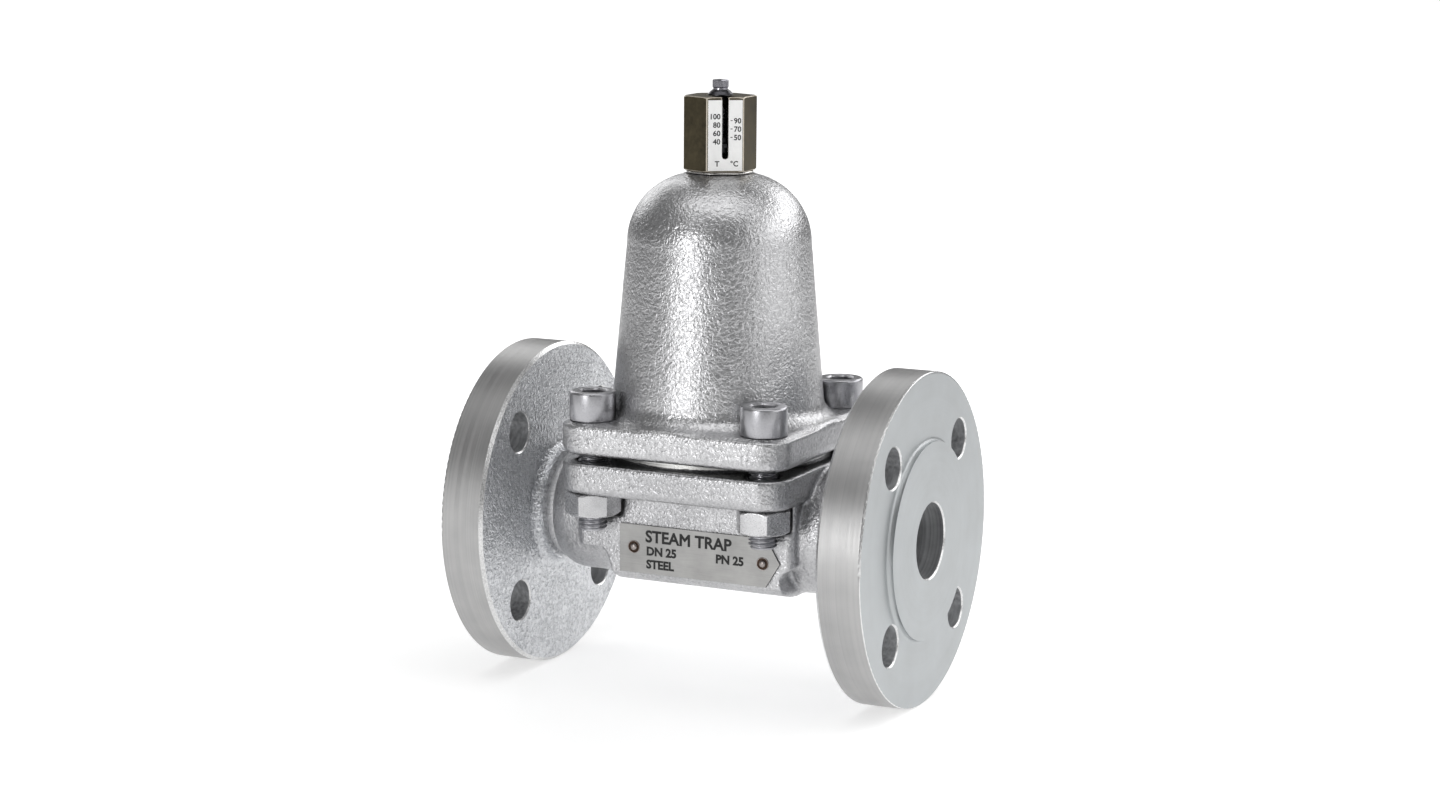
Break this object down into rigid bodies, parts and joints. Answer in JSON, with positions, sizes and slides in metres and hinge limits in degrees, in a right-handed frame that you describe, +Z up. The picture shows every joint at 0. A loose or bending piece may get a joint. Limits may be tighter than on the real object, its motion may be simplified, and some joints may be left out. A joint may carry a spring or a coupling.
{
  "type": "thermostatic steam trap",
  "caption": "Flanged thermostatic steam trap: bell cover bolted to a cast body, adjusting spindle with pointer and temperature scale on top.",
  "frame": {"origin": "centre of the inlet flange's raised face", "axes": "+X from inlet to outlet, +Z up along the bell cover's axis"},
  "size_m": [0.16, 0.115, 0.2103],
  "materials": {
    "cast_body": "silver-grey paint over a cast surface, fine grain",
    "cast_cover": "silver-grey paint over a cast surface, orange-peel texture",
    "flange_steel": "silver-grey paint, machined rim",
    "weld": "painted weld bead",
    "fastener": "satin zinc-plated steel",
    "stainless": "turned stainless steel",
    "plate_steel": "satin stainless sheet with black print",
    "rivet": "dull copper-brown rivet",
    "graphite": "matt graphite",
    "spring_steel": "drawn spring wire",
    "bimetal": "rolled bimetal strip",
    "screen": "slotted stainless sheet",
    "housing_brass": "dark olive-bronze, worn light at the edges",
    "bright_washer": "bright soft metal",
    "scale_face": "satin silver-white plate with black figures",
    "dark_steel": "blackened spring steel"
  },
  "bodies": {
    "trap": {"body": "cast_body", "inlet_flange": "flange_steel", "outlet_flange": "flange_steel", "inlet_weld": "weld", "outlet_weld": "weld", "cover": "cast_cover", "cover_gasket": "graphite", "cover_screws": "fastener", "cover_nuts": "fastener", "name_plate": "plate_steel", "name_plate_rivets": "rivet", "valve_seat": "stainless", "seat_gasket": "graphite", "return_spring": "spring_steel", "strainer_screen": "screen", "thrust_washer": "stainless", "spindle_packing": "graphite", "gland_bush": "stainless", "housing_washer": "bright_washer", "scale_housing": "housing_brass", "scale_plate": "scale_face", "dust_washer": "dark_steel"},
    "spindle": {"adjusting_spindle": "stainless"},
    "pointer": {"pointer_nut": "dark_steel"},
    "thrust": {"thrust_sleeve": "stainless", "bimetal_discs": "bimetal"},
    "valve": {"valve_stem": "stainless", "spring_plate": "stainless"}
  },
  "joints": [
    {"name": "thrust_travel", "type": "slide", "parent": "trap", "child": "thrust", "axis": [0, 0, 1], "range_m": [0, 0.0015], "deforming": ["return_spring"]},
    {"name": "spindle_turn", "type": "hinge", "parent": "trap", "child": "spindle", "pos_m": [0.08, 0, 0.15], "axis": [0, 0, 1], "range_deg": [0, 1080]},
    {"name": "pointer_travel", "type": "slide", "parent": "trap", "child": "pointer", "axis": [0, 0, 1], "range_m": [0, 0.009]},
    {"name": "valve_lift", "type": "slide", "parent": "thrust", "child": "valve", "axis": [0, 0, 1], "range_m": [-0.0024, 0], "stiffness_N_per_m": 2000, "springref_m": 0.001, "deforming": ["bimetal_discs", "return_spring"]}
  ],
  "couplings": [
    {"joint": "spindle_turn", "follows": "thrust_travel", "rad_per_m": 12565},
    {"joint": "pointer_travel", "follows": "thrust_travel", "ratio": 5.9999}
  ]
}
